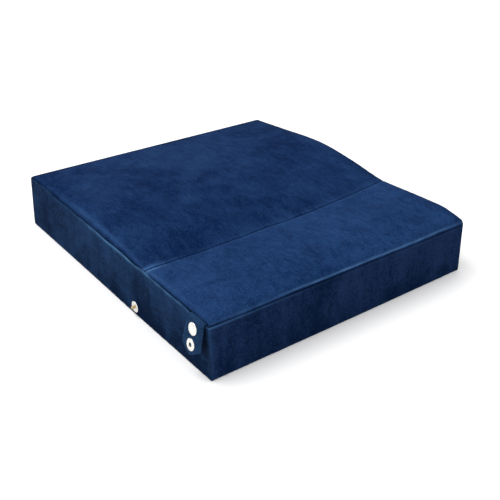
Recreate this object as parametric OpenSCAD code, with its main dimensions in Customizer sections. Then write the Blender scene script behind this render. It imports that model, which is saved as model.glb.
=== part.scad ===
// Boxed foam mat in a fitted suede cover: a level base, two crowned top panels that meet at a
// seam across the mat, a snap tab hanging at the front of each side wall, a snap stud low on
// each side wall and a zip across the back wall.
// Origin: centre of the box's underside. +X across the mat, +Y towards the back, +Z up.

/* [Mat] */
// Width from side wall to side wall
mat_w = 406; // [380:1:440]
// Depth from front wall to back wall
mat_d = 451; // [400:1:500]
// Height of the seam that runs round the top edge
seam_h = 73; // [70:1:90]
// Distance from the front wall to the seam across the top
cross_seam = 139; // [120:1:170]
// Rise of the rear top panel above the edge seam
rear_rise = 15; // [8:0.5:17]
// Rise of the front top panel above the edge seam
front_rise = 10; // [6:0.5:12]
// Width of the rolled edge where a top panel turns down to a side wall
roll_w = 22; // [18:1:28]
// Width of the rolled edge where the front top panel turns down to the front wall
front_roll_w = 30; // [20:1:40]

/* [Cover and foam] */
// Thickness of the suede cover
cover_t = 1.5; // [1:0.1:2]
// Thickness of the firm foam slab under the two soft top blocks
base_foam_t = 50; // [48:1:54]
// Gap between the crowned foam and the cover over it
foam_gap = 0.3; // [0.2:0.1:0.6]

/* [Snap tabs] */
// Width of a tab
tab_w = 35; // [30:1:40]
// Length of a tab from its root to its rounded end
tab_l = 43; // [42:1:52]
// Thickness of a tab, two layers of suede
tab_t = 1.8; // [1.4:0.1:2]
// Distance from the front wall to the middle of the left tab
tab_from_front = 19.5; // [19:0.5:60]
// Distance from the front wall to the middle of the right tab
right_tab_from_front = 36; // [19:0.5:60]
// Angle at which a tab stands off the wall, propped by its socket
tab_tilt = 10; // [10:1:20]
// Distance from a tab's root down to its upper snap
upper_snap = 10.5; // [10.5:0.5:13]
// Distance from a tab's root down to its lower snap
lower_snap = 30; // [28:0.5:33]

/* [Snap hardware] */
// Diameter of a cap
cap_d = 15.2; // [14:0.1:16]
// Height of a cap's domed face
cap_h = 1.8; // [1.4:0.1:2.2]
// Diameter of the flange of an eyelet or a side stud
ring_d = 14.8; // [14:0.1:16]
// Diameter of a socket, a tab stud's flange or an inner eyelet's flange
socket_d = 12.4; // [11:0.1:12.6]
// Diameter of a stud's post
post_d = 4.2; // [3.8:0.1:4.4]
// Length of a side stud's post
post_l = 4; // [3:0.1:4.5]
// Height of the side studs above the underside
side_stud_z = 12.5; // [9:0.5:30]
// Distance from the front wall to the side studs
side_stud_from_front = 158; // [100:1:200]

/* [Zip] */
// Length of the row of teeth
zip_l = 340; // [300:2:350]
// Height of the zip above the underside
zip_z = 36; // [30:1:38]
// Distance from one tooth to the next along one tape
tooth_pitch = 3; // [2.8:0.1:3.4]

/* [Hidden] */

$fn = 64;
crown_fn = 720; // the crowns' arcs are about a metre in radius
over = 1; // how far a cutting solid runs past the faces it cuts

suede_navy = [0.11, 0.20, 0.38];
suede_front = [0.13, 0.23, 0.42];
suede_side = [0.11, 0.20, 0.32];
foam_cream = [0.93, 0.89, 0.74];
tape_navy = [0.09, 0.13, 0.26];
nickel = [0.86, 0.87, 0.88];
brass = [0.76, 0.62, 0.32];

// Zip cross-section, measured out from the mid-plane of the tapes
tape_t = 0.8;
tape_w = 12;
tooth_half_t = 1.1;
tooth_reach = 3.2; // from the zip's centre line to the edge of the tape
tooth_slot = 0.6; // from the zip's centre line to the tip of a tooth
tooth_w = 1.3;
slide_gap = 0.3; // running clearance round the slider
plate_t = 1.2;
slider_l = 12;
slider_w = 10;
flange_w = 1.3;
web_l = 3;
web_t = 0.6;
bridge_l = 8;
bridge_w = 2.8;
bridge_t = 1;
bridge_post_l = 1.2;
pull_bar_d = 1.6;
pull_bar_l = 7;
pull_arm_w = 1.6;
pull_arm_l = 9;
pull_plate_l = 22;
pull_w = 8;
pull_t = 1.2;
pull_hole_d = 3.2;
stop_l = 2;
slider_from_end = 9; // slider's middle, from the closed end of the teeth
zip_opening = 13; // gap between the two back panels
trough_h = 18;

plate_in = tooth_half_t + slide_gap;
plate_out = plate_in + plate_t;
pull_axis_out = plate_out + slide_gap + pull_bar_d / 2;
bridge_in = pull_axis_out + pull_bar_d / 2 + slide_gap;
tape_mid_depth = cover_t + tape_t / 2; // from the back wall's face in to the tapes' mid-plane
zip_proud = bridge_in + bridge_t - tape_mid_depth;

// The box's planes: the zip's bridge is the rearmost point, so the walls sit a little forward
front_y = -(mat_d + zip_proud) / 2;
back_y = front_y + mat_d;
seam_y = front_y + cross_seam;
side_x = mat_w / 2;
wall_top = seam_h - cover_t;
inner_x = side_x - cover_t;
foam_back_y = back_y - cover_t - tape_t - 0.2; // room for the zip's tapes
base_top = cover_t + base_foam_t;
tape_mid_y = back_y - tape_mid_depth;
zip_end = zip_l / 2;
slider_x = zip_end - slider_from_end;

// Tabs and snaps
tab_off = 2.5; // from the side wall to the middle of a tab's root
tab_root_z = seam_h - 1.5;
left_tab_y = front_y + tab_from_front;
right_tab_y = front_y + right_tab_from_front;
barrel_d = 3.8;
barrel_gap = 0.1;
cap_rim_h = 0.6;
socket_t = 2;
socket_bore_d = 5.4;
socket_floor_t = 0.4;
eyelet_t = 1;
eyelet_hole_d = 5;
eyelet_wall_t = 0.4;
tab_stud_flange_t = 0.8;
tab_stud_post_l = 3.4;
side_flange_t = 0.9;
inner_flange_t = 0.6;
pocket_gap = 0.3;
stud_y = front_y + side_stud_from_front;

// Radius of the arc with this half-chord and rise
function arc_r(half_chord, rise) = (half_chord * half_chord + rise * rise) / (2 * rise);

// ---- crowned solids ----------------------------------------------------------------------

// Outline across the mat: flat on top, with an arc down to the seam at each side
module across_outline(rise) {
    r = arc_r(roll_w, rise);
    flat = mat_w - 2 * roll_w;
    translate([-flat / 2, -over]) square([flat, rise + over]);
    intersection() {
        translate([-side_x, -over]) square([mat_w, rise + over]);
        for (s = [-1, 1]) translate([s * flat / 2, rise - r]) circle(r = r, $fn = 180);
    }
}

// Outline along the rear panel: one long arc from the cross seam to the back seam
module rear_outline() {
    half = (back_y - seam_y) / 2;
    r = arc_r(half, rear_rise);
    intersection() {
        translate([seam_y, -over]) square([2 * half, rear_rise + 2 * over]);
        translate([seam_y + half, rear_rise - r]) circle(r = r, $fn = crown_fn);
    }
}

// Outline along the front panel: a ramp up from the cross seam, then a rolled front edge
module front_outline() {
    r = arc_r(front_roll_w, front_rise);
    top_y = front_y + front_roll_w;
    polygon([[top_y, -over], [seam_y, -over], [seam_y, 0], [top_y, front_rise]]);
    intersection() {
        translate([front_y, -over]) square([front_roll_w, front_rise + 2 * over]);
        translate([top_y, front_rise - r]) circle(r = r, $fn = 180);
    }
}

// A crown standing on height z, from its outlines along and across the mat
module crown(z, rise) {
    intersection() {
        translate([-side_x, 0, z]) rotate([90, 0, 90]) linear_extrude(mat_w) children();
        translate([0, back_y, z]) rotate([90, 0, 0]) linear_extrude(mat_d) across_outline(rise);
    }
}

module rear_crown(z) { crown(z, rear_rise) rear_outline(); }
module front_crown(z) { crown(z, front_rise) front_outline(); }

// Everything above height z inside the walls, between two planes across the mat
module inside_walls(y0, y1, z) {
    translate([-inner_x, y0, z]) cube([2 * inner_x, y1 - y0, 2 * seam_h]);
}

// ---- foam --------------------------------------------------------------------------------

module stud_pocket(side) {
    translate([side * (inner_x - inner_flange_t - pocket_gap), stud_y, side_stud_z])
        rotate([0, side * 90, 0])
        cylinder(d = socket_d + 2 * pocket_gap, h = inner_flange_t + pocket_gap + over);
}

module base_foam() {
    color(foam_cream) difference() {
        translate([-inner_x, front_y + cover_t, cover_t])
            cube([2 * inner_x, foam_back_y - front_y - cover_t, base_foam_t]);
        for (side = [-1, 1]) stud_pocket(side);
        translate([-zip_end - over, tape_mid_y - plate_out - slide_gap, zip_z - trough_h / 2])
            cube([zip_l + 2 * over, plate_out + slide_gap, trough_h]);
    }
}

module rear_top_foam() {
    color(foam_cream) intersection() {
        union() {
            translate([-inner_x, seam_y, base_top])
                cube([2 * inner_x, back_y - seam_y, wall_top - foam_gap - base_top]);
            rear_crown(wall_top - foam_gap);
        }
        inside_walls(seam_y, foam_back_y, base_top);
    }
}

module front_top_foam() {
    color(foam_cream) intersection() {
        union() {
            translate([-inner_x, front_y, base_top])
                cube([2 * inner_x, cross_seam, wall_top - foam_gap - base_top]);
            front_crown(wall_top - foam_gap);
        }
        inside_walls(front_y + cover_t, seam_y, base_top);
    }
}

// ---- cover -------------------------------------------------------------------------------

module top_rear_panel() {
    color(suede_navy) difference() {
        union() {
            translate([-side_x, seam_y, wall_top]) cube([mat_w, back_y - seam_y, cover_t]);
            rear_crown(seam_h);
        }
        intersection() {
            rear_crown(wall_top);
            inside_walls(seam_y, back_y - cover_t, wall_top - over);
        }
    }
}

module top_front_panel() {
    color(suede_front) difference() {
        union() {
            translate([-side_x, front_y, wall_top]) cube([mat_w, cross_seam, cover_t]);
            front_crown(seam_h);
        }
        intersection() {
            front_crown(wall_top);
            inside_walls(front_y + cover_t, seam_y, wall_top - over);
        }
    }
}

module side_panel(side) {
    color(suede_side) difference() {
        translate([side > 0 ? inner_x : -side_x, front_y, cover_t])
            cube([cover_t, mat_d, wall_top - cover_t]);
        translate([side * (inner_x - over), stud_y, side_stud_z]) rotate([0, side * 90, 0])
            cylinder(d = barrel_d + 2 * barrel_gap, h = cover_t + 2 * over);
    }
}

module left_side_panel() { side_panel(-1); }
module right_side_panel() { side_panel(1); }

module front_side_panel() {
    color(suede_navy) translate([-inner_x, front_y, cover_t])
        cube([2 * inner_x, cover_t, wall_top - cover_t]);
}

module back_upper_panel() {
    z0 = zip_z + zip_opening / 2;
    color(suede_navy) translate([-inner_x, back_y - cover_t, z0])
        cube([2 * inner_x, cover_t, wall_top - z0]);
}

module back_lower_panel() {
    z1 = zip_z - zip_opening / 2;
    color(suede_navy) translate([-inner_x, back_y - cover_t, cover_t])
        cube([2 * inner_x, cover_t, z1 - cover_t]);
}

module bottom_panel() {
    color(suede_navy) translate([-side_x, front_y, 0]) cube([mat_w, mat_d, cover_t]);
}

// ---- zip ---------------------------------------------------------------------------------

// The panels' gap is closed with a patch of suede past each end of the teeth
module zip_end_patches() {
    patch_l = inner_x - zip_end - stop_l;
    color(suede_navy) for (x = [-inner_x, inner_x - patch_l])
        translate([x, back_y - cover_t, zip_z - zip_opening / 2])
        cube([patch_l, cover_t, zip_opening]);
}

module zip_tape(side) {
    z0 = zip_z + (side > 0 ? tooth_reach : -tooth_reach - tape_w);
    color(tape_navy) translate([-zip_end, tape_mid_y - tape_t / 2, z0]) cube([zip_l, tape_t, tape_w]);
}

module zip_tape_upper() { zip_tape(1); }
module zip_tape_lower() { zip_tape(-1); }

// One row of teeth; the other row is half a pitch along
module zip_teeth(side) {
    first = -zip_end + stop_l + slide_gap + (side > 0 ? 0 : tooth_pitch / 2);
    last = zip_end - stop_l - slide_gap - tooth_w;
    tooth_h = tooth_reach - tooth_slot;
    color(nickel) for (x = [first : tooth_pitch : last])
        translate([x, tape_mid_y - tooth_half_t, zip_z + (side > 0 ? tooth_slot : -tooth_reach)])
        cube([tooth_w, 2 * tooth_half_t, tooth_h]);
}

module zip_teeth_upper() { zip_teeth(1); }
module zip_teeth_lower() { zip_teeth(-1); }

// A pair of stops at the closed end and one box across both tapes at the open end
module zip_stops() {
    stop_h = tooth_reach - tooth_slot;
    color(nickel) {
        for (z = [tooth_slot, -tooth_reach])
            translate([zip_end - stop_l, tape_mid_y - tooth_half_t, zip_z + z])
            cube([stop_l, 2 * tooth_half_t, stop_h]);
        translate([-zip_end, tape_mid_y - tooth_half_t, zip_z - tooth_reach])
            cube([stop_l, 2 * tooth_half_t, 2 * tooth_reach]);
    }
}

// Two plates, one on each face of the tapes, joined by a web between the rows of teeth, with a
// bridge on the outer plate that the pull hangs from
module zip_slider() {
    color(nickel) translate([slider_x, tape_mid_y, zip_z]) {
        for (y = [plate_in, -plate_out])
            translate([-slider_l / 2, y, -slider_w / 2]) cube([slider_l, plate_t, slider_w]);
        translate([-web_l / 2, -plate_in - plate_t / 2, -web_t / 2])
            cube([web_l, 2 * plate_in + plate_t, web_t]);
        for (z = [-slider_w / 2, slider_w / 2 - flange_w])
            translate([-slider_l / 2, tape_t / 2 + slide_gap, z])
            cube([slider_l, plate_in - tape_t / 2, flange_w]);
        for (x = [-bridge_l / 2, bridge_l / 2 - bridge_post_l])
            translate([x, plate_out - plate_t / 2, -bridge_w / 2])
            cube([bridge_post_l, bridge_in - plate_out + plate_t, bridge_w]);
        translate([-bridge_l / 2, bridge_in, -bridge_w / 2]) cube([bridge_l, bridge_t, bridge_w]);
    }
}

// A bar under the bridge, two arms that straddle it, and a flat grip with a hole
module zip_pull() {
    arm_z = pull_bar_l / 2;
    color(nickel) translate([slider_x, tape_mid_y + pull_axis_out, zip_z]) difference() {
        union() {
            translate([0, 0, -arm_z]) cylinder(d = pull_bar_d, h = pull_bar_l);
            for (z = [-arm_z, arm_z - pull_arm_w])
                translate([-pull_arm_l - over, -pull_t / 2, z])
                cube([pull_arm_l + over, pull_t, pull_arm_w]);
            translate([-pull_arm_l - pull_plate_l, -pull_t / 2, -pull_w / 2])
                cube([pull_plate_l, pull_t, pull_w]);
            translate([-pull_arm_l - pull_plate_l, pull_t / 2, 0]) rotate([90, 0, 0])
                cylinder(d = pull_w, h = pull_t);
        }
        translate([-pull_arm_l - pull_plate_l, pull_t, 0]) rotate([90, 0, 0])
            cylinder(d = pull_hole_d, h = 2 * pull_t);
    }
}

// ---- snap studs on the side walls ----------------------------------------------------------

// Places children at a side stud, with their +Z pointing out of the wall at the wall's face
module at_side_stud(side) {
    translate([side * side_x, stud_y, side_stud_z]) rotate([0, side * 90, 0]) children();
}

module side_stud(side) {
    color(nickel) at_side_stud(side) {
        cylinder(d = ring_d, h = side_flange_t);
        cylinder(d = post_d, h = side_flange_t + post_l);
    }
}

// The eyelet clamps the wall from inside: a flange, and a barrel through to the stud
module stud_eyelet(side) {
    color(brass) at_side_stud(side) {
        translate([0, 0, -cover_t - inner_flange_t]) cylinder(d = socket_d, h = inner_flange_t);
        translate([0, 0, -cover_t - inner_flange_t]) cylinder(d = barrel_d, h = cover_t + inner_flange_t);
    }
}

module left_side_stud() { side_stud(-1); }
module right_side_stud() { side_stud(1); }
module left_stud_eyelet() { stud_eyelet(-1); }
module right_stud_eyelet() { stud_eyelet(1); }

// ---- snap tabs -----------------------------------------------------------------------------

// Places children at a tab's root, where the strap hangs along -Z and its outer face is at -X
module at_tab(side) {
    mirror([side > 0 ? 1 : 0, 0, 0])
        translate([-side_x - tab_off, side < 0 ? left_tab_y : right_tab_y, tab_root_z])
            rotate([0, tab_tilt, 0]) children();
}

// Places children on a tab's outer face at this distance down it, with their +Z pointing outward
module on_outer_face(down) {
    translate([-tab_t / 2, 0, -down]) rotate([0, -90, 0]) children();
}

// The same on the inner face, which faces the wall
module on_inner_face(down) {
    translate([tab_t / 2, 0, -down]) rotate([0, 90, 0]) children();
}

module tab_strap(side) {
    eyelet_barrel_d = eyelet_hole_d + 2 * eyelet_wall_t;
    color(suede_side) at_tab(side) difference() {
        union() {
            translate([0, tab_w / 2, 0]) rotate([90, 0, 0]) cylinder(d = tab_t, h = tab_w);
            translate([-tab_t / 2, 0, 0]) rotate([90, 0, 90]) linear_extrude(tab_t) {
                translate([-tab_w / 2, tab_w / 2 - tab_l]) square([tab_w, tab_l - tab_w / 2]);
                translate([0, tab_w / 2 - tab_l]) circle(d = tab_w);
            }
        }
        translate([0, 0, -upper_snap]) rotate([0, 90, 0])
            cylinder(d = barrel_d + 2 * barrel_gap, h = tab_t + 2 * over, center = true);
        translate([0, 0, -lower_snap]) rotate([0, 90, 0])
            cylinder(d = eyelet_barrel_d + 2 * barrel_gap, h = tab_t + 2 * over, center = true);
    }
}

module tab_cap(side) {
    dome_r = arc_r(cap_d / 2, cap_h - cap_rim_h);
    color(nickel) at_tab(side) on_outer_face(upper_snap) {
        intersection() {
            cylinder(d = cap_d, h = cap_h);
            translate([0, 0, cap_h - dome_r]) sphere(r = dome_r, $fn = 180);
        }
        translate([0, 0, -tab_t]) cylinder(d = barrel_d, h = tab_t + cap_rim_h);
    }
}

module tab_socket(side) {
    color(brass) at_tab(side) on_inner_face(upper_snap) difference() {
        cylinder(d = socket_d, h = socket_t);
        translate([0, 0, socket_floor_t]) cylinder(d = socket_bore_d, h = socket_t);
    }
}

module tab_eyelet(side) {
    color(nickel) at_tab(side) on_outer_face(lower_snap) difference() {
        union() {
            cylinder(d = ring_d, h = eyelet_t);
            translate([0, 0, -tab_t]) cylinder(d = eyelet_hole_d + 2 * eyelet_wall_t, h = tab_t + eyelet_t);
        }
        translate([0, 0, -tab_t - over]) cylinder(d = eyelet_hole_d, h = tab_t + eyelet_t + 2 * over);
    }
}

module tab_stud(side) {
    color(brass) at_tab(side) on_inner_face(lower_snap) {
        cylinder(d = socket_d, h = tab_stud_flange_t);
        cylinder(d = post_d, h = tab_stud_flange_t + tab_stud_post_l);
    }
}

module left_tab_strap() { tab_strap(-1); }
module left_tab_cap() { tab_cap(-1); }
module left_tab_socket() { tab_socket(-1); }
module left_tab_eyelet() { tab_eyelet(-1); }
module left_tab_stud() { tab_stud(-1); }
module right_tab_strap() { tab_strap(1); }
module right_tab_cap() { tab_cap(1); }
module right_tab_socket() { tab_socket(1); }
module right_tab_eyelet() { tab_eyelet(1); }
module right_tab_stud() { tab_stud(1); }

base_foam();
rear_top_foam();
front_top_foam();
top_rear_panel();
top_front_panel();
left_side_panel();
right_side_panel();
front_side_panel();
back_upper_panel();
back_lower_panel();
bottom_panel();
zip_end_patches();
zip_tape_upper();
zip_tape_lower();
zip_teeth_upper();
zip_teeth_lower();
zip_stops();
zip_slider();
zip_pull();
left_side_stud();
left_stud_eyelet();
right_side_stud();
right_stud_eyelet();
left_tab_strap();
left_tab_cap();
left_tab_socket();
left_tab_eyelet();
left_tab_stud();
right_tab_strap();
right_tab_cap();
right_tab_socket();
right_tab_eyelet();
right_tab_stud();
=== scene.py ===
"""Looks of the boxed foam seat mat: a fitted suede cover over three foam blocks, with a snap tab
and a snap stud on each side wall and a zip across the back.

Shapes are in millimetres in the CAD frame, and written in metres. The mat's measures come from the
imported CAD; fabric shape, seams, turned profiles, stitches and finish are added."""

from math import cos, pi, radians, sin, sqrt

import bmesh
import bpy
import numpy as np
from mathutils import Matrix, Vector


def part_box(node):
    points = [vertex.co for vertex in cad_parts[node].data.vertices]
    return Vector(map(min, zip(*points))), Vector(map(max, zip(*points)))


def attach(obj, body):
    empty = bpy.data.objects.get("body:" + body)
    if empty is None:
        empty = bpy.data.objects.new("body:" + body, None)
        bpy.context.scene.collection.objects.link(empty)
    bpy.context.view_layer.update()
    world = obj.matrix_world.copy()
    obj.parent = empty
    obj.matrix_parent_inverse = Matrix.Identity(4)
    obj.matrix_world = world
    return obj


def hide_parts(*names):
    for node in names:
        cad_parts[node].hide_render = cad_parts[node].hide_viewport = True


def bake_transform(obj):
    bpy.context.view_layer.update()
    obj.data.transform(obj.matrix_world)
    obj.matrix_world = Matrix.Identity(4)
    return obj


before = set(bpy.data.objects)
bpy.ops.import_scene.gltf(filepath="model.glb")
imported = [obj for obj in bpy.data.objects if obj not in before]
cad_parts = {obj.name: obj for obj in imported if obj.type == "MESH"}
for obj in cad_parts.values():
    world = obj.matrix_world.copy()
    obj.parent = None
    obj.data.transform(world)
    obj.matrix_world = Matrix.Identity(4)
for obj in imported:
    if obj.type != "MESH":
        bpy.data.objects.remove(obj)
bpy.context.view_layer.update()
MM = 0.001


# ---- the CAD frame's measures, in millimetres ----

def box_mm(node):
    return [np.array(corner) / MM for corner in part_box(node)]


floor_low, floor_high = box_mm("bottom_panel")
SIDE, FRONT, BACK = floor_high[0], floor_low[1], floor_high[1]
WIDTH, DEPTH = 2 * SIDE, BACK - FRONT
COVER = floor_high[2]
SEAM_Z = box_mm("left_side_panel")[1][2] + COVER
CROSS = box_mm("top_rear_panel")[0][1] - FRONT
CROSS_PLACE = FRONT + CROSS
stud_low, stud_high = box_mm("left_side_stud")
STUD_Y, STUD_Z = (stud_low[1] + stud_high[1]) / 2, (stud_low[2] + stud_high[2]) / 2
SIDES = ((-1, "left"), (1, "right"))
TAB_SPAN = {sign: [corner[1] for corner in box_mm(f"{which}_tab_strap")] for sign, which in SIDES}


# ---- camera: fitted to the mat's corners in the photo, in degrees and metres ----

AZIMUTH, ELEVATION, TILTED = -38.39, 28.81, 1.58
TARGET, DISTANCE = Vector((0.024, -0.0477, 0.03)), 1.1425
LENS, SHIFT_X, SHIFT_Y = 60.03, -0.045, -0.0298


def add_camera():
    azimuth, elevation, roll = (radians(a) for a in (AZIMUTH, ELEVATION, TILTED))
    back = Vector((sin(azimuth) * cos(elevation),
                   -cos(azimuth) * cos(elevation), sin(elevation)))
    right = (-back).cross(Vector((0, 0, 1))).normalized()
    up = right.cross(-back)
    tilted_right = right * cos(roll) + up * sin(roll)
    tilted_up = up * cos(roll) - right * sin(roll)
    data = bpy.data.cameras.new("camera")
    data.sensor_width, data.clip_start, data.clip_end = 36, 0.01, 50
    data.lens, data.shift_x, data.shift_y = LENS, SHIFT_X, SHIFT_Y
    camera = bpy.data.objects.new("camera", data)
    bpy.context.scene.collection.objects.link(camera)
    matrix = Matrix((tilted_right, tilted_up, back)).transposed().to_4x4()
    matrix.translation = TARGET + back * DISTANCE
    camera.matrix_world = matrix
    bpy.context.scene.camera = camera


add_camera()


# ---- curves and random fields ----

join = np.concatenate


def rise(low, high, x):
    """0 below low, 1 above high, and a smooth rise between."""
    t = np.clip((np.asarray(x, float) - low) / (high - low), 0, 1)
    return t * t * (3 - 2 * t)


def bell(x, middle, width):
    return np.exp(-(((x - middle) / width) ** 2))


def rolled(distance, width):
    """A quarter ellipse from 0 at an edge to 1 at this width in from it."""
    t = np.clip(distance / width, 0, 1)
    return np.sqrt(np.maximum(1 - (1 - t) ** 2, 0))


def unit(v):
    return v / np.linalg.norm(v, axis=-1, keepdims=True)


def xyz(x, y, z):
    """Points from grids of their coordinates."""
    return np.stack(np.broadcast_arrays(x, y, z), -1)


def spline(xs, ys):
    """A smooth curve through the points, flat outside them."""
    xs, ys = np.asarray(xs, float), np.asarray(ys, float)
    slope = np.gradient(ys, xs)

    def value(x):
        x = np.clip(x, xs[0], xs[-1])
        i = np.clip(np.searchsorted(xs, x, side="right") - 1, 0, len(xs) - 2)
        h = xs[i + 1] - xs[i]
        t = (x - xs[i]) / h
        return ((1 + 2 * t) * (1 - t) ** 2 * ys[i] + t * (1 - t) ** 2 * h * slope[i]
                + t * t * (3 - 2 * t) * ys[i + 1] + t * t * (t - 1) * h * slope[i + 1])

    return value


def ripple(x, y, seed, wavelength, waves=7):
    """A random field of about unit size: a sum of waves in seeded directions."""
    rng = np.random.default_rng(seed)
    total = np.zeros(np.broadcast(x, y).shape)
    for _ in range(waves):
        angle, phase = rng.uniform(0, pi), rng.uniform(0, 2 * pi)
        k = 2 * pi * rng.uniform(0.7, 1.5) / wavelength
        total += np.sin(k * (x * cos(angle) + y * sin(angle)) + phase)
    return total / sqrt(waves / 2)


def peaks(base, *bells, of_depth=False, patchy=None):
    """A level along an edge: base and bells of (height, middle, width), in millimetres or shares
    of the mat's depth; patchy gives its ripple's seed and length."""

    def level(s):
        at = (s - FRONT) / DEPTH if of_depth else s
        total = base * np.ones_like(s)
        for height, middle, width in bells:
            total = total + height * bell(at, middle, width)
        return total * (0.85 + 0.15 * ripple(s, 0 * s, *patchy)) if patchy else total

    return level


# ---- meshes ----

def add_mesh(name, points_mm, faces, material, attributes=None):
    mesh = bpy.data.meshes.new(name)
    mesh.from_pydata((np.asarray(points_mm) * MM).tolist(), [], faces)
    mesh.validate()
    for key, values in (attributes or {}).items():
        attribute = mesh.attributes.new(key, "FLOAT", "POINT")
        attribute.data.foreach_set("value", np.asarray(values, np.float32).ravel())
    mesh.shade_smooth()
    mesh.materials.append(material)
    made = bpy.data.objects.new(name, mesh)
    bpy.context.scene.collection.objects.link(made)
    return made


def turn_outward(made, weld=0.0):
    """Turns closed shapes' faces outward, after joining points as near as weld."""
    work = bmesh.new()
    work.from_mesh(made.data)
    if weld:
        bmesh.ops.remove_doubles(work, verts=work.verts, dist=weld)
    bmesh.ops.recalc_face_normals(work, faces=work.faces)
    work.to_mesh(made.data)
    work.free()
    made.data.shade_smooth()


def grid_faces(rows, columns, start=0, flip=False):
    i = np.arange(rows - 1)[:, None] * columns + np.arange(columns - 1) + start
    corners = [i, i + columns, i + columns + 1, i + 1]
    return np.stack(corners[::-1] if flip else corners, -1).reshape(-1, 4).tolist()


def border(rows, columns):
    """Indices round a grid's border, in order."""
    index = np.arange(rows * columns).reshape(rows, columns)
    return join([index[:-1, 0], index[-1, :-1], index[:0:-1, -1], index[0, :0:-1]])


def tube_faces(rings, around, start=0, closed=False):
    """Faces between rings of points, joined end to end if closed and capped if not."""
    corners = (0, 0), (0, 1), (1, 1), (1, 0)
    faces = [[start + (k + dk) % rings * around + (i + di) % around for dk, di in corners]
             for k in range(rings if closed else rings - 1) for i in range(around)]
    if closed:
        return faces
    last = start + (rings - 1) * around
    return faces + [[start + i for i in reversed(range(around))], [last + i for i in range(around)]]


def closed_sheet(name, outer, inner, side, material, attributes=None):
    """Two equal grids of points with a rim between them, outward by this sign of side."""
    rows, columns = outer.shape[:2]
    count, ring = rows * columns, border(rows, columns)
    ahead = np.roll(ring, -1)
    faces = grid_faces(rows, columns) + grid_faces(rows, columns, count, True)
    faces += np.stack([ring + count, ahead + count, ahead, ring], -1).tolist()
    return add_mesh(name, join([outer.reshape(-1, 3), inner.reshape(-1, 3)]),
                    faces if side > 0 else [face[::-1] for face in faces], material, attributes)


def grid_normals(points, side):
    return unit(np.cross(np.gradient(points, axis=0), np.gradient(points, axis=1)) * side)


# Each material's slot in the record.
SLOTS = {"suede_top_rear": "top_suede_rear", "suede_top_front": "top_suede_front",
         "suede_side": "side_suede", "suede_tab": "side_suede", "suede_wall": "front_suede",
         "nickel_plate": "nickel", "aged_brass": "brass", "zip_nickel": "zip_metal",
         "zip_tape_weave": "zip_tape", "seat_foam": "foam"}


def stand_in(made, body, *nodes, slot=None):
    """Puts a piece on its body and in CAD nodes' place. Its material's slot is looked up but not
    kept.
    """
    if body:
        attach(made, body)
    if nodes:
        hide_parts(*nodes)
    slot or SLOTS[made.active_material.name]


# ---- materials ----

class Nodes:
    """Short hand for a material's node tree."""

    def __init__(self, name):
        self.material = bpy.data.materials.new(name)
        self.material.use_nodes = True
        self.tree = self.material.node_tree
        self.shader = self.tree.nodes["Principled BSDF"]

    def put(self, socket, value):
        if isinstance(value, bpy.types.NodeSocket):
            self.tree.links.new(value, socket)
        else:
            socket.default_value = value

    def add(self, kind, out, inputs=(), **settings):
        """A new node's output of this name or number."""
        node = self.tree.nodes.new("ShaderNode" + kind)
        for key, value in settings.items():
            setattr(node, key, value)
        for key, value in dict(inputs).items():
            self.put(node.inputs[key], value)
        return node.outputs[out]

    def place(self, scale=(1, 1, 1), rotation=(0, 0, 0)):
        own = self.add("TexCoord", "Object")
        return self.add("Mapping", 0, {"Vector": own, "Scale": scale, "Rotation": rotation})

    def noise(self, vector, *layer):
        inputs = dict(zip(("Scale", "Detail", "Roughness", "Distortion"), layer), Vector=vector)
        return self.add("TexNoise", "Fac", inputs)

    def math(self, operation, a, b):
        return self.add("Math", 0, {0: a, 1: b}, operation=operation)

    def ramp(self, value, low, high, to_low=0.0, to_high=1.0):
        inputs = {"Value": value, "From Min": low, "From Max": high,
                  "To Min": to_low, "To Max": to_high}
        return self.add("MapRange", "Result", inputs)

    def swing(self, value, by, low=0.3, high=0.7):
        return self.ramp(value, low, high, -by, by)

    def mix(self, share, a, b):
        return self.add("Mix", 2, {0: share, 6: a, 7: b}, data_type="RGBA")

    def attribute(self, name):
        return self.add("Attribute", "Fac", attribute_name=name)

    def bump(self, height, strength, distance):
        inputs = {"Height": height, "Strength": strength, "Distance": distance}
        return self.add("Bump", 0, inputs)

    def finish(self, **sockets):
        for key, value in sockets.items():
            self.put(self.shader.inputs[key.replace("_", " ")], value)
        return self.material


def colour(r, g, b):
    """An sRGB colour of 0 to 255 as linear light."""
    linear = [((c / 255 + 0.055) / 1.055) ** 2.4 if c > 10 else c / 255 / 12.92
              for c in (r, g, b)]
    return (*linear, 1)


# The suede's noises: scale, detail, roughness and distortion.
CLOUD, PATCH, STROKE = (9.0, 4.0, 0.6, 0.6), (42.0, 4.0, 0.62, 0.6), (190.0, 3.0, 0.65, 0.5)
# On this line, the second noise breaks the crests' worn nap and painted highlight into patches.
STREAK, RUBBING_AND_HIGHLIGHT = (1.0, 4.0, 0.62, 0.4), (34.0, 3.0, 0.5)
GRAIN, FIBRE = (560.0, 3.0, 0.7), (1500.0, 2.0, 0.7)
STROKE_STRETCH, STROKE_LAY, STREAK_STRETCH = (1.0, 0.3, 1.0), (0, 0, 0.6), (48, 48, 9)
# On this line, the first colour is the painted shade laid into slits and grooves; the second tints
# the sheen.
SLIT_SHADE_COLOUR, SHEEN_COLOUR = (0.0015, 0.003, 0.008, 1), (0.16, 0.32, 0.75, 1)
# How high the painted shade at a wall's foot reaches.
FOOT_SHADE_HEIGHT = 0.065


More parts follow.
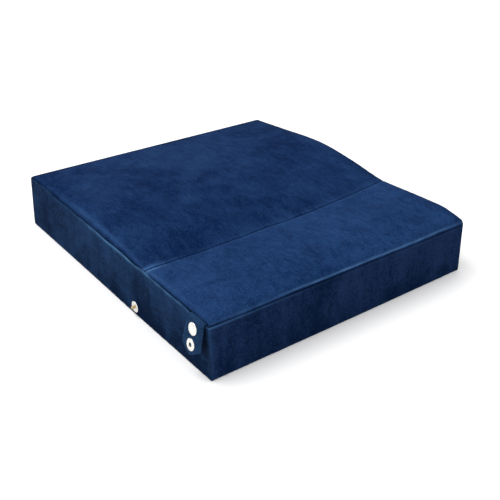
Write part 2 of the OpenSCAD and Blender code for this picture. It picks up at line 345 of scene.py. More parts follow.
def suede(name, dark, light, worn_and_lit, clouds=1.0, streaks=0.0, foot_shade=0.0):
    """Brushed suede: cloudy nap, patches, brush strokes and grain, and if wanted upright streaks
    and a darker foot of painted shade. Crests take the worn colour, which is worn nap and a painted
    highlight, and slits go dark with painted shade."""
    n = Nodes(name)
    own = n.place()
    patch, fibre, grain = (n.noise(own, *layer) for layer in (PATCH, FIBRE, GRAIN))
    stroke = n.noise(n.place(STROKE_STRETCH, STROKE_LAY), *STROKE)
    tones = [n.swing(n.noise(own, *CLOUD), 0.36 * clouds), n.swing(patch, 0.27, 0.28, 0.72),
             n.swing(stroke, 0.22)]
    if streaks:
        tones.append(n.swing(n.noise(n.place(STREAK_STRETCH), *STREAK), streaks))
    # A darker foot: painted shade, darker towards the bottom.
    if foot_shade:
        height = n.add("SeparateXYZ", "Z", {"Vector": own})
        tones.append(n.ramp(height, 0.0, FOOT_SHADE_HEIGHT, -foot_shade, 0.4 * foot_shade))
    tones += [n.swing(grain, 0.48), n.ramp(fibre, 0.3, 0.7, 0.34, 0.66)]
    tone = tones[0]
    for layer in tones[1:]:
        tone = n.math("ADD", tone, layer)
    base = n.mix(tone, colour(*dark), colour(*light))
    # Crests take the worn colour in patches: worn nap and a painted highlight.
    rubbed_and_lit = n.ramp(n.noise(own, *RUBBING_AND_HIGHLIGHT), 0.3, 0.65, 0.6, 1.0)
    base = n.mix(n.math("MULTIPLY", n.attribute("wear"), rubbed_and_lit), base, colour(*worn_and_lit))
    # Slits and grooves go towards near black: painted shade.
    base = n.mix(n.math("MULTIPLY", n.attribute("groove"), 0.8), base, SLIT_SHADE_COLOUR)
    height = n.math("ADD", n.math("MULTIPLY", fibre, 0.35), n.math("MULTIPLY", grain, 0.65))
    return n.finish(Base_Color=base, Roughness=n.ramp(patch, 0.3, 0.7, 0.86, 0.97),
                    Specular_IOR_Level=0.012, Sheen_Weight=0.04, Sheen_Roughness=0.45,
                    Sheen_Tint=SHEEN_COLOUR, Normal=n.bump(height, 0.6, 0.0006))


def metal(name, tint, dull, rough):
    """Plated metal with fine scratches and some tarnish."""
    n = Nodes(name)
    scratch = n.noise(n.place((1, 1, 14)), 700.0, 3.0, 0.7)
    tarnish = n.ramp(n.noise(n.place(), 260.0, 3.0, 0.6), 0.42, 0.8)
    return n.finish(Base_Color=n.mix(tarnish, colour(*tint), colour(*dull)), Metallic=1.0,
                    Roughness=n.ramp(scratch, 0.3, 0.75, rough, rough + 0.18),
                    Normal=n.bump(scratch, 0.12, 0.0001))


def woven(name, dark, light, pitch):
    """Twill: ribs across ribs, each thread a little different."""
    n = Nodes(name)

    def ribs(place, scale, distortion, direction):
        inputs = {"Vector": place, "Scale": scale, "Distortion": distortion, "Detail": 1.0}
        return n.add("TexWave", "Fac", inputs, bands_direction=direction)

    thread = n.math("MULTIPLY", ribs(n.place((1, 1, 0.55)), pitch, 0.4, "DIAGONAL"),
                    ribs(n.place(), pitch * 1.3, 0.3, "Z"))
    uneven = n.ramp(n.noise(n.place(), 900.0), 0.3, 0.7, 0.0, 0.3)
    tone = n.math("ADD", n.math("MULTIPLY", thread, 0.7), uneven)
    return n.finish(Base_Color=n.mix(tone, colour(*dark), colour(*light)),
                    Roughness=n.ramp(thread, 0, 1, 0.75, 0.9), Specular_IOR_Level=0.2,
                    Normal=n.bump(thread, 0.5, 0.0003))


def foam_material():
    """Cut seat foam: cream, with open cells whose hollows are painted darker as painted shade, and
    a little yellowing.
    """
    n = Nodes("seat_foam")
    cells = n.add("TexVoronoi", "Distance", {"Vector": n.place(), "Scale": 620.0})
    age = n.ramp(n.noise(n.place(), 24.0, 3.0), 0.3, 0.75)
    base = n.mix(age, colour(238, 229, 196), colour(222, 203, 148))
    # The cells' hollows are painted darker: painted shade.
    base = n.mix(n.ramp(cells, 0.1, 0.6), colour(190, 172, 126), base)
    return n.finish(Base_Color=base, Roughness=n.ramp(cells, 0, 1, 0.85, 0.98),
                    Specular_IOR_Level=0.1, Normal=n.bump(cells, 0.6, 0.0006))


# Each suede's dark, light and worn colours; the worn colour is worn nap and a painted highlight.
# The front top panel is painted lighter than the rear one: painted light, where its face and nap
# catch more of the light.
REAR_SUEDE = suede("suede_top_rear", (5, 24, 57), (26, 50, 88), (64, 102, 154))
FRONT_SUEDE = suede("suede_top_front", (11, 33, 68), (31, 58, 100), (80, 118, 162), 0.55)
SIDE_SUEDE = suede("suede_side", (4, 18, 40), (24, 46, 77), (72, 112, 150), 1.2, 0.28, 0.34)
WALL_SUEDE = suede("suede_wall", (4, 19, 44), (23, 40, 72), (58, 94, 138), 0.8, 0.26, 0.15)
TAB_SUEDE = suede("suede_tab", (10, 28, 52), (31, 57, 88), (64, 102, 138), 0.8, 0.1)
THREAD = woven("navy_thread", (18, 34, 66), (50, 74, 118), 900)
TAPE = woven("zip_tape_weave", (14, 22, 44), (40, 54, 92), 420)
NICKEL = metal("nickel_plate", (232, 232, 228), (196, 194, 186), 0.16)
BRASS = metal("aged_brass", (206, 188, 146), (140, 118, 78), 0.28)
ZIP_METAL = metal("zip_nickel", (206, 206, 204), (150, 150, 146), 0.24)
FOAM = foam_material()


# ---- how the cover's panels turn in at their seams ----
# Each list runs from the end of the seam allowance, through the groove's bottom (the third pair),
# to the face: (distance in from the box's edge, distance out from the face).

CORNER = [(3, -2.9), (2.2, -2.12), (1.5, -1.42), (1.05, -0.95), (0.85, -0.55), (1.1, -0.27),
          (1.6, -0.08), (2.4, 0), (4, 0), (6.5, 0), (10, 0)]
LIP = [(4, -2.75), (2.6, -2.75), (0.9, -2.7), (-0.3, -2.55), (-1.2, -2), (-1.55, -1.15),
       (-1.2, -0.3), (-0.2, 0.1), (1.8, 0.12), (5, 0), (10, 0)]
FRONT_LIP = [(4.4, -3.4), (3.2, -3.2), (2.2, -2.2), (2.5, -0.9), (3.1, -0.1), (4, 0.3),
             (5.2, 0.32), (6.4, 0.18), (7.6, 0.06), (8.6, 0), (10, 0)]
ROLL = [(3.15, -4), (3, -2.5), (2.85, -0.9), (2.86, -0.1), (3, 0), (3.4, 0), (4.1, 0), (5.1, 0),
        (6.5, 0), (8.2, 0), (10, 0)]
FRONT_ROLL = [(3.5, -4.3), (2.9, -3.4), (1.4, -2.7), (0.4, -2.35), (-0.2, -1.5), (-0.45, -0.5),
              (-0.35, -0.02), (0.3, 0), (1.6, 0), (4.5, 0), (10, 0)]
CROSS_EDGE = [(0.2, -4.5), (0.2, -3), (0.22, -1.9), (0.35, -1.35), (0.6, -0.95), (0.95, -0.6),
              (1.4, -0.33), (2.2, -0.1), (3.5, 0), (6, 0), (10, 0)]
HEM = [(0, -0.55), (0.02, -0.4), (0.06, -0.28), (0.15, -0.16), (0.3, -0.07), (0.5, 0), (1, 0),
       (2, 0), (4, 0), (7, 0), (10, 0)]
EDGE_IN = 10
# Where in a seam's profile its painted slit shade is centred, and how wide it is.
GROOVE_AT, GROOVE_WIDE = 2.2, 0.9

quiet = peaks(0.10)


class Edge:
    """A panel's edge: its shape along the seam and at its ends, the share of the first, how worn
    and how lit its crest is (worn nap and a painted highlight), which pair that is, how wide that
    is, and how dark the painted shade in its slit."""

    def __init__(self, shape, at_ends=None, share=None, wear=None, crest=5.0, wide=1.3, slit_shade=None):
        self.shape, self.at_ends, self.crest, self.wide = shape, at_ends or shape, crest, wide
        self.share, self.wear, self.slit_shade = share or peaks(1), wear or peaks(0.3), slit_shade or peaks(1)

    @staticmethod
    def sampled(points):
        points = np.array(points, float)
        at = np.arange(len(points))
        fine = np.linspace(0, len(points) - 1, 2 * len(points) - 1)
        return spline(at, points[:, 0])(fine), spline(at, points[:, 1])(fine), fine

    def at(self, s):
        """Distances in and out with a row per ruling, and their places in the list."""
        p1, q1, index = self.sampled(self.shape)
        p0, q0, _ = self.sampled(self.at_ends)
        k = self.share(s)[None, :]
        return (p0[:, None] * (1 - k) + p1[:, None] * k,
                q0[:, None] * (1 - k) + q1[:, None] * k, index)


def nominal(low, high, step):
    """Even places for the rulings between the two edges' own."""
    room = high - low - 2 * EDGE_IN
    return np.linspace(low + EDGE_IN, high - EDGE_IN, max(3, round(room / step) + 1))[1:-1]


def rulings(low, high, first, last, step, s):
    """Places, face offsets, wear with painted highlight, and painted slit shade of the rulings from
    low to high.
    """
    (p0, q0, index), (p1, q1, _) = first.at(s), last.at(s)
    flat = np.repeat(nominal(low, high, step)[:, None], len(s), 1)
    worn_and_lit = [bell(index, edge.crest, edge.wide)[:, None] * edge.wear(s) for edge in (first, last)]
    slit_shades = [bell(index, GROOVE_AT, GROOVE_WIDE)[:, None] * edge.slit_shade(s) for edge in (first, last)]
    rows = ((low + p0, flat, high - p1), (q0, 0 * flat, q1), (worn_and_lit[0], 0 * flat, worn_and_lit[1]),
            (slit_shades[0], 0 * flat, slit_shades[1]))
    return [join([start, between, end[::-1]]) for start, between, end in rows]


def edge_places(low, high, step):
    """Rough place of each ruling, to look up how an edge changes along it."""
    near = np.linspace(0, EDGE_IN, len(Edge.sampled(CORNER)[2]))
    return join([low + near, nominal(low, high, step), high - near[::-1]])


def no_swell(u, v):
    return 0 * u


SHEAR_IN = spline([FRONT, -170, -60, 60, BACK], [3.1, 2.2, 0.5, -0.4, -2.3])
SHEAR_FORWARD = spline([-SIDE, 0, SIDE], [2.7, 2.2, 0.6])
RIGHT_FOOT_OUT, RIGHT_TOP_IN = 1.7, 1.2


def sheared(points):
    """The soft box stands a little askew: its foot is turned against its top."""
    x, y, z = points[..., 0], points[..., 1], points[..., 2]
    low = np.clip(1 - z / SEAM_Z, 0, 1)
    dx = low * SHEAR_IN(y) * (SIDE - x) / WIDTH
    by_stud = bell(np.hypot(y - STUD_Y, z - STUD_Z), 0, 26)
    lean = RIGHT_FOOT_OUT * low - RIGHT_TOP_IN * (1 - low)
    dx += lean * (x + SIDE) / WIDTH * rise(-90, DEPTH, BACK - y) * (1 - by_stud)
    return points + xyz(dx, -low * SHEAR_FORWARD(x) * (BACK - y) / DEPTH, 0)


# ---- cloth simulation of the large panels ----

CLOTH_STEP, CLOTH_FRAMES, CLOTH_SLACK = 7.0, 16, 0.25
CLOTH = {"quality": 6, "mass": 0.25, "tension_stiffness": 15, "compression_stiffness": 15,
         "shear_stiffness": 6, "bending_stiffness": 0.6, "shrink_min": -0.006,
         "vertex_group_mass": "held", "use_pressure": True, "uniform_pressure_force": 2.0}


def bspline(t):
    """Weights of the four grid places round t."""
    return [(1 - t) ** 3 / 6, (3 * t ** 3 - 6 * t ** 2 + 4) / 6,
            (-3 * t ** 3 + 3 * t ** 2 + 3 * t + 1) / 6, t ** 3 / 6]


def settled(name, u_range, v_range, where, side, seed, most):
    """How far the suede lies out of the panel's face, up to this most: cloth simulation of a slack
    sheet held at its seams and blown out by the foam behind it."""
    us, vs = (np.linspace(*r, round((r[1] - r[0]) / CLOTH_STEP)) for r in (u_range, v_range))
    u, v = np.meshgrid(us, vs, indexing="ij")
    start = where(u, v, CLOTH_SLACK * ripple(u, v, seed, 52.0))
    rows, columns = u.shape
    sheet = add_mesh(f"{name}_cloth", start.reshape(-1, 3),
                     grid_faces(rows, columns, 0, side < 0), FOAM)
    held = sorted(border(rows, columns).tolist())
    sheet.vertex_groups.new(name="held").add(held, 1.0, "REPLACE")
    cloth = sheet.modifiers.new("cloth", "CLOTH")
    for key, value in CLOTH.items():
        setattr(cloth.settings, key, value)
    cloth.settings.effector_weights.gravity = 0
    cloth.collision_settings.use_collision = False
    cloth.point_cache.frame_start, cloth.point_cache.frame_end = 1, CLOTH_FRAMES
    scene = bpy.context.scene
    for step in range(1, CLOTH_FRAMES + 1):
        scene.frame_set(step)
    result = sheet.evaluated_get(bpy.context.evaluated_depsgraph_get())
    flat = np.zeros(3 * rows * columns, np.float32)
    result.to_mesh().vertices.foreach_get("co", flat)
    result.to_mesh_clear()
    moved = flat.reshape(rows, columns, 3) / MM - start
    out = (moved * grid_normals(start, side)).sum(-1)
    scene.frame_set(1)
    bpy.data.meshes.remove(sheet.data)
    out *= min(1.0, most / max(float(np.percentile(np.abs(out), 99)), 1e-6))

    def swell(a, b):
        i, j = (np.clip((q - r[0]) / (r[1] - r[0]), 0, len(r) - 1.001)
                for q, r in ((a, us), (b, vs)))
        total = 0
        for m, wm in enumerate(bspline(i % 1)):
            row = np.clip(i.astype(int) + m - 1, 0, rows - 1)
            for k, wk in enumerate(bspline(j % 1)):
                column = np.clip(j.astype(int) + k - 1, 0, columns - 1)
                total = total + wm * wk * out[row, column]
        return total

    return swell


# ---- panels ----
# In from a seam: where a face is free to swell, puckers, and thickens from its thinned edge.

FREE, PUCKER, PUCKER_FROM, THICKEN = (1.5, 14), (3.5, 4.5), (0.6, 2.2), (2.5, 9)
PUCKER_LENGTH, PUCKER_WAVES = 11.0, 5
SUEDE_T, THINNED = 1.1, 0.62


def panel(name, u_range, v_range, edges, where, side, material, node, step=2.6,
          swell=no_swell, most=0.0, gather=0.16, painted_shade=no_swell):
    """A closed sheet of suede. edges are at u-low, u-high, v-low and v-high; where(u, v, n) gives
    points from places on the face and offsets out of it; swell(u, v) moves the face out, and so
    does cloth, by this most; gather is how far it puckers beside its seams, and pressed(u, v) how
    much painted shade it gets, such as the painted shadow of a tab."""
    u_low, u_high, v_low, v_high = edges
    us, vs = edge_places(*u_range, step), edge_places(*v_range, step)
    u, nu, wear_and_highlight_u, groove_u = rulings(*u_range, u_low, u_high, step, vs)
    v, nv, wear_and_highlight_v, groove_v = (q.T for q in rulings(*v_range, v_low, v_high, step, us))
    # Crests carry worn nap and a painted highlight; slits, grooves and shaded places carry painted
    # shade.
    wear = np.maximum(wear_and_highlight_u, wear_and_highlight_v)
    groove = np.maximum(np.maximum(groove_u, groove_v), painted_shade(u, v))
    inward = np.minimum(np.minimum(u - u_range[0], u_range[1] - u),
                        np.minimum(v - v_range[0], v_range[1] - v))
    seed = len(name)
    pucker = (gather * bell(inward, *PUCKER) * rise(*PUCKER_FROM, inward)
              * ripple(u, v, seed, PUCKER_LENGTH, PUCKER_WAVES))
    cloth = settled(name, u_range, v_range, where, side, seed, most) if most else no_swell
    bulge = rise(*FREE, inward) * (swell(u, v) + cloth(u, v))
    outer = sheared(where(u, v, nu + nv + bulge + pucker))
    thin = 1 - THINNED * (1 - rise(*THICKEN, inward))
    inner = outer - grid_normals(outer, side) * (SUEDE_T * thin)[..., None]
    made = closed_sheet(name, outer, inner, side, material,
                        {"wear": [wear, 0 * wear], "groove": [groove, 0 * groove]})
    stand_in(made, "mat", node)
    middles = outer[:, outer.shape[1] // 2], outer[outer.shape[0] // 2]
    lengths = (float(np.linalg.norm(np.diff(line, axis=0), axis=1).sum()) * MM for line in middles)
    tuple(lengths)


# ---- the crowned top ----
# The crown's height by share of the depth from the front.

CROSS_SHARE = 0.308
CROWN = spline([0, 0.02, 0.06, 0.12, 0.20, 0.28, CROSS_SHARE, 0.36, 0.42, 0.50, 0.60, 0.70, 0.80,
                0.90, 1.0],
               [8.5, 9.2, 11.8, 11.2, 9.4, 7.2, 6.6, 8.6, 11.9, 15.1, 17.1, 15.0, 10.9, 7.0, 2.4])
LEFT_WIDTH, RIGHT_WIDTH, BACK_WIDTH, FRONT_WIDTH = 24.0, 8.5, 8.0, 9.0
VALLEY, LEFT_DIP, RIGHT_GAIN = 5.5, 4.6, 0.22


def cross_y(x):
    """The cross seam's line in plan, further back on the right, with a slight bend midway."""
    u = (x + SIDE) / WIDTH
    return FRONT + CROSS - 4.5 + 11.5 * u * u + 1.3 * bell(x, -24, 24)


def follow_seam(fixed):
    """Bends places to the cross seam's line, and leaves those at fixed where they are."""

    def bend(x, y):
        weight = np.clip((y - fixed) / (CROSS_PLACE - fixed), 0, 1)
        return y + weight * (cross_y(x) - FRONT - CROSS)

    return bend


def top_height(x, y, side_start, front_start=-0.45, back_start=2.85):
    """Height of the crowned top above the edge seam."""
    seam = cross_y(x)
    front_share = np.clip((y - FRONT) / (seam - FRONT), 0, 1) * CROSS_SHARE
    rear_share = np.clip((y - seam) / (BACK - seam), 0, 1) * (1 - CROSS_SHARE)
    share = np.where(y < seam, front_share, CROSS_SHARE + rear_share)
    middle = np.clip(1 - (x / (0.94 * SIDE)) ** 2, 0, 1)
    dip = (VALLEY * middle * bell(y, seam, 34.0)
           + LEFT_DIP * rise(40, SIDE, -x) * bell(y, seam, 26.0))
    crown = CROWN(share) * (1 + RIGHT_GAIN * rise(0, SIDE, x)) - dip
    side_roll = RIGHT_WIDTH + (LEFT_WIDTH - RIGHT_WIDTH) * rise(-60, 60, -x)
    return (crown * rolled(SIDE - np.abs(x) - side_start, side_roll)
            * rolled(y - FRONT - front_start, FRONT_WIDTH)
            * rolled(BACK - y - back_start, BACK_WIDTH))


def along_side(s):
    """0 at both ends of a side edge, 1 between."""
    return rise(0.5, 6, s - FRONT) * rise(0.5, 6, BACK - s)


def across_ends(reach):
    """0 at both ends of an edge across the mat, 1 further in than reach."""
    return lambda s: rise(0.5, reach, SIDE - np.abs(s))


def top_where(far):
    """Maps places on a top panel to points; far is its edge across from the cross seam."""
    bend = follow_seam(far)

    def where(x, y, n):
        y = bend(x, y)
        start = 0.9 + 1.95 * along_side(y)
        sag = 0.28 * ripple(x, y, 5, 120.0) + 0.10 * ripple(x, y, 6, 38.0)
        still = rise(6, 40, SIDE - np.abs(x))
        return xyz(x, y, SEAM_Z + top_height(x, y, start) + n + still * sag)

    return where


def front_slit_shade(s):
    """The painted shade in the slit below the front roll is faint at the left corner and full
    further in.
    """
    return 0.2 + 0.8 * rise(3, 26, s + SIDE)


def right_roll_shade(x, y):
    """The top is painted darker where it rolls down on the right: painted shade."""
    return 0.26 * rise(SIDE - 30, SIDE - 4, x)


# The lip and the rolled side are worn and painted with a highlight along their middle, where the
# slit between them gets less painted shade; the front roll from its middle to the right; the cross
# seam at its left end.
side_wear_and_highlight = peaks(0.06, (0.85, 0.43, 0.17), (0.3, 0.15, 0.1), of_depth=True, patchy=(75, 32.0))
side_slit_shade = peaks(1, (-0.95, 0.50, 0.25), of_depth=True)
rolled_wear_and_highlight = peaks(0.04, (0.2, 0.58, 0.18), (0.1, 0.3, 0.12), of_depth=True)
front_wear_and_highlight = peaks(0.15, (0.5, 0, 95), (0.35, 140, 70), patchy=(76, 25.0))
front_top_wear_and_highlight = peaks(0.04, (0.55, -SIDE, 85), (0.3, -SIDE, 14))
junction_wear_and_highlight, seam_slit_shade = peaks(0.06, (0.75, -SIDE, 26)), peaks(0.7, (0.3, -45, 40))

ACROSS = -SIDE, SIDE
left_roll = Edge(ROLL, CORNER, along_side, rolled_wear_and_highlight, 7.4, 1.6, side_slit_shade)
right_roll = Edge(ROLL, CORNER, along_side, quiet)
back_roll = Edge(ROLL, CORNER, across_ends(8), quiet)
front_roll = Edge(FRONT_ROLL, CORNER, across_ends(8), front_wear_and_highlight, 6.2, 0.75, front_slit_shade)
cross_seam = Edge(CROSS_EDGE, wear=junction_wear_and_highlight, crest=7.4, wide=1.5, slit_shade=seam_slit_shade)
# The top panels are painted darker where they roll down on the right: painted shade.
for part, low, high, far, edges, material, most in (
        ("rear", CROSS_PLACE, BACK, BACK, [cross_seam, back_roll], REAR_SUEDE, 0.9),
        ("front", FRONT, CROSS_PLACE, FRONT, [front_roll, cross_seam], FRONT_SUEDE, 0.8)):
    panel(f"top_{part}_suede", ACROSS, (low, high), [left_roll, right_roll, *edges],
          top_where(far), 1, material, f"top_{part}_panel", most=most, painted_shade=right_roll_shade)


# ---- walls and underside ----

# The last of these is how dark each side's painted tab shadow is.
UPWARD, STUD_CLEAR, TAB_SHADOW_DEPTH = (0, SEAM_Z), (7.5, 16), {-1: 0.62, 1: 0.3}


def wall_swell(low, high, seed):
    """A wall pulls in between its corners and ripples where it is slack."""

    def swell(u, v):
        pull = -1.1 * np.sin(np.pi * np.clip((u - low) / (high - low), 0, 1)) ** 0.8
        return pull + (0.22 * ripple(u, 0.25 * v, seed, 46.0) + 0.12 * ripple(u, v, seed + 1, 21.0))

    return swell


def side_swell(seed):
    """A side wall's swell, held flat round the stud."""
    base = wall_swell(FRONT, BACK, seed)

    def swell(y, z):
        clear = rise(*STUD_CLEAR, np.hypot(y - STUD_Y, z - STUD_Z))
        return base(y, z) * clear - 0.15 * (1 - clear)

    return swell


def back_swell(u, v):
    return 0.14 * ripple(u, v, 33, 64.0)


def tab_shadow(sign):
    """The wall behind a tab and just in front of it is painted darker: the tab's painted shadow."""
    front, back = TAB_SPAN[sign]

    def painted_shade(y, z):
        along = rise(front - 3, front + 1, y) * rise(-back + 3, 9 - back, -y)
        shown = TAB_SHADOW_DEPTH[sign] * along * rise(SEAM_Z - 45, SEAM_Z - 40, z)
        return shown * rise(2, 7, SEAM_Z - z)

    return painted_shade


def lip_share(sign):
    """The lip is pressed down under the tab and fades out at the back corner."""
    behind = TAB_SPAN[sign][1]
    return lambda s: ((0.3 + 0.7 * rise(behind - 7, behind + 8, s)) * rise(0.5, 14, BACK - s)
                      * rise(0.5, 6, s - FRONT)
                      * (0.86 + 0.14 * ripple(s, 0 * s, 70 + sign, 47.0)))


def on_front(x, z, n):
    return xyz(x, FRONT - n, z)


def on_back(x, z, n):
    return xyz(x, BACK + n, z)


plain, rubbed_and_lit, hem = Edge(CORNER), Edge(CORNER, wear=quiet), Edge(HEM, wear=quiet)
# Each side wall carries the painted shadow of its tab.
for sign, which in SIDES:
    lip = Edge(LIP, CORNER, lip_share(sign), side_wear_and_highlight, 6.3, 1.35, side_slit_shade)
    panel(f"{which}_wall_suede", (FRONT, BACK), UPWARD, [rubbed_and_lit, plain, rubbed_and_lit, lip],
          lambda y, z, n, sign=sign: xyz(sign * (SIDE + n), y, z), sign,
          SIDE_SUEDE, f"{which}_side_panel", swell=side_swell(20 + sign), most=0.8,
          painted_shade=tab_shadow(sign))

# The front wall's left corner is worn and carries a painted highlight, growing towards the top.
front_left = Edge(CORNER, wear=lambda s: 0.12 + 0.16 * rise(20, SEAM_Z, s), crest=6.5, wide=2)
front_top = Edge(FRONT_LIP, CORNER, across_ends(9), front_top_wear_and_highlight, slit_shade=front_slit_shade)
panel("front_wall_suede", ACROSS, UPWARD, [front_left, plain, rubbed_and_lit, front_top], on_front, 1,
      WALL_SUEDE, "front_side_panel", swell=wall_swell(-SIDE, SIDE, 31), most=0.8)
panel("underside_suede", ACROSS, (FRONT, BACK), [rubbed_and_lit] * 4,
      lambda x, y, n: xyz(x, y, -n), -1, WALL_SUEDE, "bottom_panel", step=6, gather=0.0)

upper_hem, lower_hem = box_mm("back_upper_panel")[0][2], box_mm("back_lower_panel")[1][2]
back_lip = Edge(LIP, CORNER, across_ends(10), quiet)
panel("back_upper_suede", ACROSS, (upper_hem, SEAM_Z), [plain, plain, hem, back_lip], on_back, -1,
      WALL_SUEDE, "back_upper_panel", swell=back_swell)
panel("back_lower_suede", ACROSS, (0, lower_hem), [plain, plain, rubbed_and_lit, hem], on_back, -1,
      WALL_SUEDE, "back_lower_panel", swell=back_swell)


# ---- foam blocks, inside the cover ----

FOAM_IN, FOAM_UNDER, FOAM_ROUND, FOAM_GAP = 5.5, 2.8, 6, 1.4
FOAM_TOP = box_mm("base_foam")[1][2]
FOAM_BACK = BACK - FOAM_IN


def foam_places(low, high, count):
    """Places across a block, closer near its rounded edges."""
    near = np.array([0, 0.5, 1.4, 2.8, 4.6, 7.0])
    return join([low + near, np.linspace(low + 11, high - 11, count), high - near[::-1]])


def foam_block(name, low, high, bottom, top, bend, node):
    """A block of cut foam with rounded edges."""
    x_edge = SIDE - FOAM_IN
    x, y = np.meshgrid(foam_places(-x_edge, x_edge, 64), foam_places(low, high, 40), indexing="ij")
    inward = np.minimum(x_edge - np.abs(x), np.minimum(y - low, high - y))
    drop = FOAM_ROUND * (1 - rolled(inward, FOAM_ROUND))
    y = bend(x, y)
    rough = 0.12 * ripple(x, y, 41, 9.0) * rise(2, 8, inward)
    made = closed_sheet(name, xyz(x, y, top(x, y) - drop + rough),
                        xyz(x, y, bottom + 0.35 * drop), 1, FOAM)
    stand_in(made, "mat", node)


def crowned_foam(x, y):
    return SEAM_Z - FOAM_UNDER + top_height(x, y, FOAM_IN + 3, FOAM_IN, FOAM_IN + 3)


foam_block("base_foam_block", FRONT + FOAM_IN, FOAM_BACK, COVER + 0.4,
           lambda x, y: FOAM_TOP - 0.2 + 0 * x, lambda x, y: y, "base_foam")
foam_block("rear_foam_block", CROSS_PLACE + FOAM_GAP, FOAM_BACK, FOAM_TOP + 0.1, crowned_foam,
           follow_seam(FOAM_BACK), "rear_top_foam")
foam_block("front_foam_block", FRONT + FOAM_IN, CROSS_PLACE - FOAM_GAP, FOAM_TOP + 0.1,
           crowned_foam, follow_seam(FRONT + FOAM_IN), "front_top_foam")


# ---- turned and stamped metal ----
# Each profile is (radius, height) from the axis or bore on top round to it below.

SEGMENTS = 72
FLANGE = [(0, 0.9), (2.35, 0.9), (3, 0.82), (4.6, 0.8), (5.3, 0.98), (6, 1), (6.7, 0.84),
          (7.2, 0.5), (7.4, 0.22), (7.3, 0.03), (6.8, 0), (0, 0)]
POST = [(0, 4.9), (0.9, 4.88), (1.5, 4.72), (1.95, 4.35), (2.08, 3.9), (2, 3.45), (1.78, 3),
        (1.7, 2.5), (1.72, 1.6), (1.95, 1.15), (2.5, 0.93), (2.9, 0.88), (2.9, 0.7), (0, 0.7)]
CAP = [(0, 1.8), (1.6, 1.77), (3.2, 1.66), (4.6, 1.46), (5.7, 1.2), (6.4, 0.95), (6.75, 0.84),
       (7, 0.8), (7.3, 0.7), (7.52, 0.48), (7.6, 0.25), (7.5, 0.06), (7.1, 0), (1.9, 0), (1.9, -1),
       (0, -1)]
SOCKET = [(0, 0.4), (2.7, 0.4), (2.7, 1.2), (2.58, 1.5), (2.7, 1.85), (3.1, 2), (3.9, 1.92),
          (4.6, 1.5), (5.2, 1.05), (5.9, 0.8), (6.15, 0.5), (6.15, 0.1), (5.9, 0), (0, 0)]
RING = [(2.5, -1.7), (2.5, 0.35), (2.62, 0.7), (2.95, 0.93), (3.6, 1), (4.4, 0.92), (5.4, 0.86),
        (6.3, 0.7), (7, 0.42), (7.35, 0.18), (7.3, 0.02), (6.9, 0), (2.9, 0), (2.9, -1.7)]
TUBE = [(2.44, -1.75), (2.44, 0.5), (2.5, 0.62), (2.56, 0.5), (2.56, -1.75)]
TAB_STUD = [(0, 4.2), (0.9, 4.18), (1.5, 4), (1.95, 3.6), (2.08, 3.15), (1.95, 2.7), (1.72, 2.3),
            (1.7, 1.5), (1.95, 1.05), (2.6, 0.8), (4.6, 0.74), (5.5, 0.8), (6, 0.6), (6.2, 0.3),
            (6.1, 0), (0, 0)]
EYELET = [(0, -0.2), (1.85, -0.2), (1.9, -1.5), (5.7, -1.5), (6.1, -1.6), (6.2, -1.85), (6, -2.15),
          (5.2, -2.3), (2.6, -2.2), (1.4, -2.3), (0, -2.3)]

ROOT_Y = {sign: sum(span) / 2 for sign, span in TAB_SPAN.items()}
TILT = radians(10)
COS, SIN = cos(TILT), sin(TILT)
ROOT_OUT, ROOT_Z, ROOT_IN = 2.5, SEAM_Z - 1.5, 7.6
STRAP_T, UPPER_SNAP, LOWER_SNAP = 1.8, 10.5, 30.0
HALF_TAB, STRAIGHT, TAB_END = 17.5, 30.5, 42.6


def lathe(name, profile, frame_of, material, body, *nodes):
    """A turned piece; frame_of(a, b, h) gives points from places on a face and heights off it."""
    angles = np.linspace(0, 2 * pi, SEGMENTS, endpoint=False)
    rings, points, faces = [], [], []
    for radius, height in profile:
        first = len(points)
        if radius:
            rings.append(list(range(first, first + SEGMENTS)))
            points += [frame_of(radius * cos(t), radius * sin(t), height) for t in angles]
        else:
            rings.append([first] * SEGMENTS)
            points.append(frame_of(0.0, 0.0, height))
    if profile[0][0] and profile[-1][0]:
        rings.append(rings[0])
    for one, two in zip(rings, rings[1:]):
        for k in range(SEGMENTS):
            m = (k + 1) % SEGMENTS
            face = list(dict.fromkeys([one[k], two[k], two[m], one[m]]))
            if len(face) > 2:
                faces.append(face)
    made = add_mesh(name, points, faces, material)
    turn_outward(made)
    stand_in(made, body, *nodes)


def on_tab(sign, down, face=1):
    """Places on a tab's outer face, or its inner one if face is -1, this far down."""

    def point(a, b, h):
        s, o = down - b, face * (STRAP_T / 2 + h)
        return (sign * (SIDE + (ROOT_OUT + s * SIN + o * COS)), ROOT_Y[sign] + a,
                ROOT_Z - s * COS + o * SIN)

    return point


# The strap's root, over the wall's edge: distance down, out from the wall, height over the seam.
ROOT_PATH = [(-ROOT_IN, -2.1, -1.0), (-6.3, -1.9, 0.3), (-4.9, -1.1, 1.15), (-3.4, 0.35, 1.35),
             (-1.8, 1.7, 0.25), (-0.8, 2.25, -0.7), (0, ROOT_OUT, ROOT_Z - SEAM_Z)]


def tab_path(s):
    """Middle of the strap in (out from the wall, height): over the wall's edge, then down."""
    at, out, up = (np.array(c) for c in zip(*ROOT_PATH))
    below = s > 0
    return (np.where(below, ROOT_OUT + s * SIN, spline(at, out)(s)),
            np.where(below, ROOT_Z - s * COS, SEAM_Z + spline(at, up)(s)))


def tab_point_shape(u, v):
    """Draws a round end in to the tab's blunt point, cut straighter in front."""
    turn = np.arctan2(v, np.abs(u))
    power = np.where(u < 0, 1.1, 1.6)
    return (np.cos(turn) ** power + np.abs(np.sin(turn)) ** power) ** (-1 / power)


def drawn_in(across, down):
    """The tab's root is drawn in at the back, and its front side widens downward."""
    return across * np.where(across > 0, 0.88 - 0.24 * (1 - rise(0, 19, down)),
                             1 + 0.06 * rise(4, 30, down))


